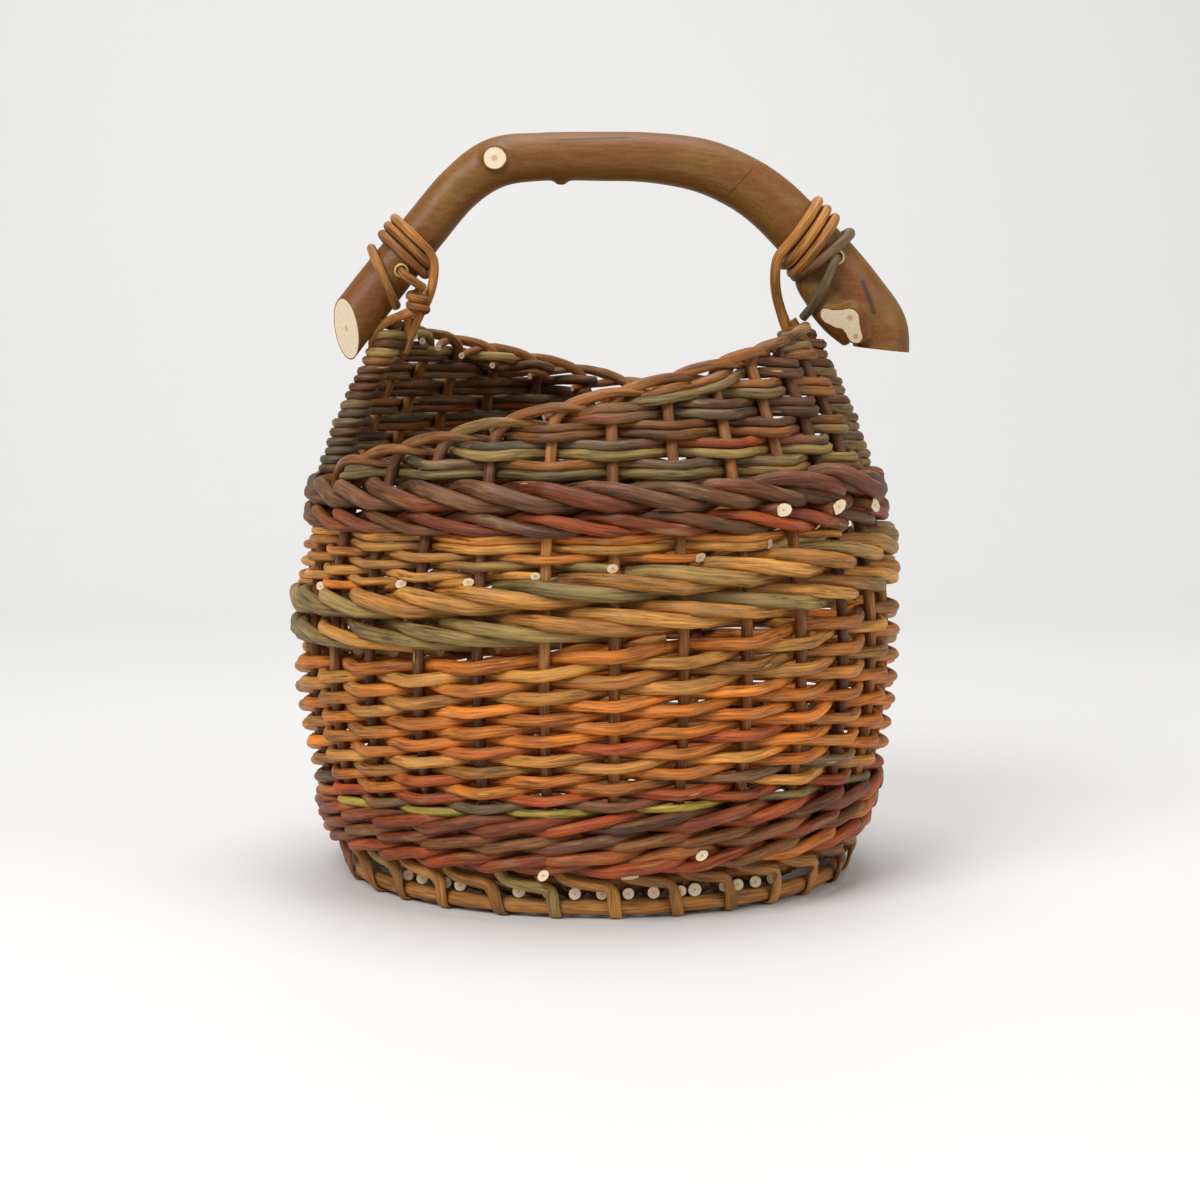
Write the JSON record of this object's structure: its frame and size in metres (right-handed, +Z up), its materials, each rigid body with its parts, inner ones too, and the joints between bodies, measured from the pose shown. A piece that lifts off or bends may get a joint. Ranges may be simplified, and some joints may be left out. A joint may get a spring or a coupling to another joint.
{
  "type": "willow basket",
  "caption": "Round bellied willow basket with a framed base, two ramped wings and a branch handle lashed across its mouth.",
  "frame": {"origin": "middle of the base, on the surface that the basket stands on", "axes": "+Z up, +X along the handle towards its forked end, +Y to the back as the picture shows it"},
  "size_m": [0.3233, 0.3188, 0.3832],
  "materials": {
    "branch_bark": "dry bark, satin",
    "brown_rod": "dry bark, satin",
    "dark_rod": "dry bark, satin",
    "lash_rod": "dry bark, satin",
    "orange_rod": "dry bark, satin",
    "red_rod": "dry bark, satin",
    "stake_rod": "dry bark, satin",
    "stick_rod": "dry bark, satin",
    "thin_rod": "dry bark, satin"
  },
  "bodies": {
    "basket": {"back_border": "brown_rod", "back_wing_weave": "brown_rod", "base_hoop": "dark_rod", "base_sticks": "stick_rod", "base_top_hoop": "brown_rod", "base_weave": "brown_rod", "front_border": "brown_rod", "front_wing_weave": "brown_rod", "middle_wale": "red_rod", "side_rand": "orange_rod", "stake_01": "stake_rod", "stake_02": "stake_rod", "stake_03": "stake_rod", "stake_04": "stake_rod", "stake_05": "stake_rod", "stake_06": "stake_rod", "stake_07": "stake_rod", "stake_08": "stake_rod", "stake_09": "stake_rod", "stake_10": "stake_rod", "stake_11": "stake_rod", "stake_12": "stake_rod", "stake_13": "stake_rod", "stake_14": "stake_rod", "stake_15": "stake_rod", "stake_16": "stake_rod", "stake_17": "stake_rod", "stake_18": "stake_rod", "stake_19": "stake_rod", "stake_20": "stake_rod", "stake_21": "stake_rod", "stake_22": "stake_rod", "stake_23": "stake_rod", "stake_24": "stake_rod", "stake_25": "stake_rod", "stake_26": "stake_rod", "stake_27": "stake_rod", "stake_28": "stake_rod", "thin_rand": "thin_rod", "upset_wale": "red_rod"},
    "handle": {"handle_branch": "branch_bark", "left_wraps": "lash_rod", "left_hairpin": "lash_rod", "left_peg": "lash_rod", "right_wraps": "lash_rod", "right_hairpin": "dark_rod", "right_peg": "dark_rod"}
  },
  "joints": [
    {"name": "handle_rock", "type": "hinge", "parent": "basket", "child": "handle", "pos_m": [0, 0, 0.29], "axis": [1, 0, 0], "range_deg": [-12, 12], "stiffness_Nm_per_rad": 0.8}
  ]
}
